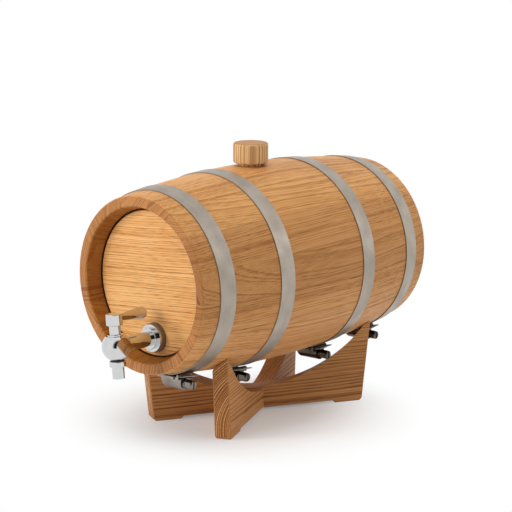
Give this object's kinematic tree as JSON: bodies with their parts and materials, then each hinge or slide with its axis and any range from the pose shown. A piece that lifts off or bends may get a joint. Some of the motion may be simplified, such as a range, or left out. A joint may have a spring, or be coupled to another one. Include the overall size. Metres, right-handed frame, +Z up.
{
  "type": "wooden aging barrel",
  "caption": "Small bulging wooden barrel with flat steel bands, a bung on top and a lever tap in its front head, lying on a stand of crossed boards; ages and pours a drink.",
  "frame": {"origin": "On the floor under the middle of the object's box, midway between the tap's nose and the rear rim.", "axes": "+Z up; Y along the barrel's axis, with the tap and front head towards -Y; +X to the right seen from the front."},
  "size_m": [0.155, 0.2933, 0.2166],
  "materials": {
    "stave_wood": "oiled, lengthwise grain",
    "head_wood": "oiled, straight grain",
    "stand_wood": "oiled, straight grain",
    "bung_wood": "oiled, grain along its axis",
    "band_steel": "satin",
    "clamp_steel": "pressed, satin",
    "tap_chrome": "polished",
    "seal_rubber": "matt"
  },
  "bodies": {
    "stand": {"stand_lower_board": "stand_wood", "stand_upper_board": "stand_wood"},
    "barrel": {"bung_stave": "stave_wood", "stave_01": "stave_wood", "stave_02": "stave_wood", "stave_03": "stave_wood", "stave_04": "stave_wood", "stave_05": "stave_wood", "stave_06": "stave_wood", "stave_07": "stave_wood", "stave_08": "stave_wood", "stave_09": "stave_wood", "stave_10": "stave_wood", "stave_11": "stave_wood", "stave_12": "stave_wood", "stave_13": "stave_wood", "stave_14": "stave_wood", "stave_15": "stave_wood", "front_head": "head_wood", "rear_head": "head_wood", "front_end_band": "band_steel", "front_belly_band": "band_steel", "rear_belly_band": "band_steel", "rear_end_band": "band_steel", "front_end_clamp_housing": "clamp_steel", "front_belly_clamp_housing": "clamp_steel", "rear_belly_clamp_housing": "clamp_steel", "rear_end_clamp_housing": "clamp_steel", "clamp_rivets": "clamp_steel", "tap_body": "tap_chrome", "tap_flange": "tap_chrome", "tap_outer_gasket": "seal_rubber", "tap_inner_gasket": "seal_rubber", "tap_lock_nut": "tap_chrome", "tap_bonnet": "tap_chrome", "tap_spout_seal": "seal_rubber", "tap_spout": "tap_chrome"},
    "bung": {"bung": "bung_wood"},
    "tap_handle": {"tap_plug": "tap_chrome", "tap_stem_seal": "seal_rubber", "tap_hub": "tap_chrome", "tap_lever": "tap_chrome"},
    "front_end_screw": {"front_end_clamp_screw": "clamp_steel"},
    "front_belly_screw": {"front_belly_clamp_screw": "clamp_steel"},
    "rear_belly_screw": {"rear_belly_clamp_screw": "clamp_steel"},
    "rear_end_screw": {"rear_end_clamp_screw": "clamp_steel"}
  },
  "joints": [
    {"name": "barrel_lift", "type": "slide", "parent": "stand", "child": "barrel", "axis": [0, 0, 1], "range_m": [0, 0.06]},
    {"name": "bung_lift", "type": "slide", "parent": "barrel", "child": "bung", "axis": [0, 0, 1], "range_m": [0, 0.05]},
    {"name": "tap_turn", "type": "hinge", "parent": "barrel", "child": "tap_handle", "pos_m": [0.00379, -0.13565, 0.08088], "axis": [-0.0924, 0, 0.9957], "range_deg": [0, 90]},
    {"name": "front_end_screw_turn", "type": "hinge", "parent": "barrel", "child": "front_end_screw", "pos_m": [0.00264, -0.08677, 0.04624], "axis": [0.9994, 0, 0.0349], "continuous": true},
    {"name": "front_belly_screw_turn", "type": "hinge", "parent": "barrel", "child": "front_belly_screw", "pos_m": [0.00226, -0.02782, 0.04072], "axis": [0.9996, 0, 0.0279], "continuous": true},
    {"name": "rear_belly_screw_turn", "type": "hinge", "parent": "barrel", "child": "rear_belly_screw", "pos_m": [0.00226, 0.06612, 0.04072], "axis": [0.9996, 0, 0.0279], "continuous": true},
    {"name": "rear_end_screw_turn", "type": "hinge", "parent": "barrel", "child": "rear_end_screw", "pos_m": [0.00264, 0.12507, 0.04624], "axis": [0.9994, 0, 0.0349], "continuous": true}
  ]
}
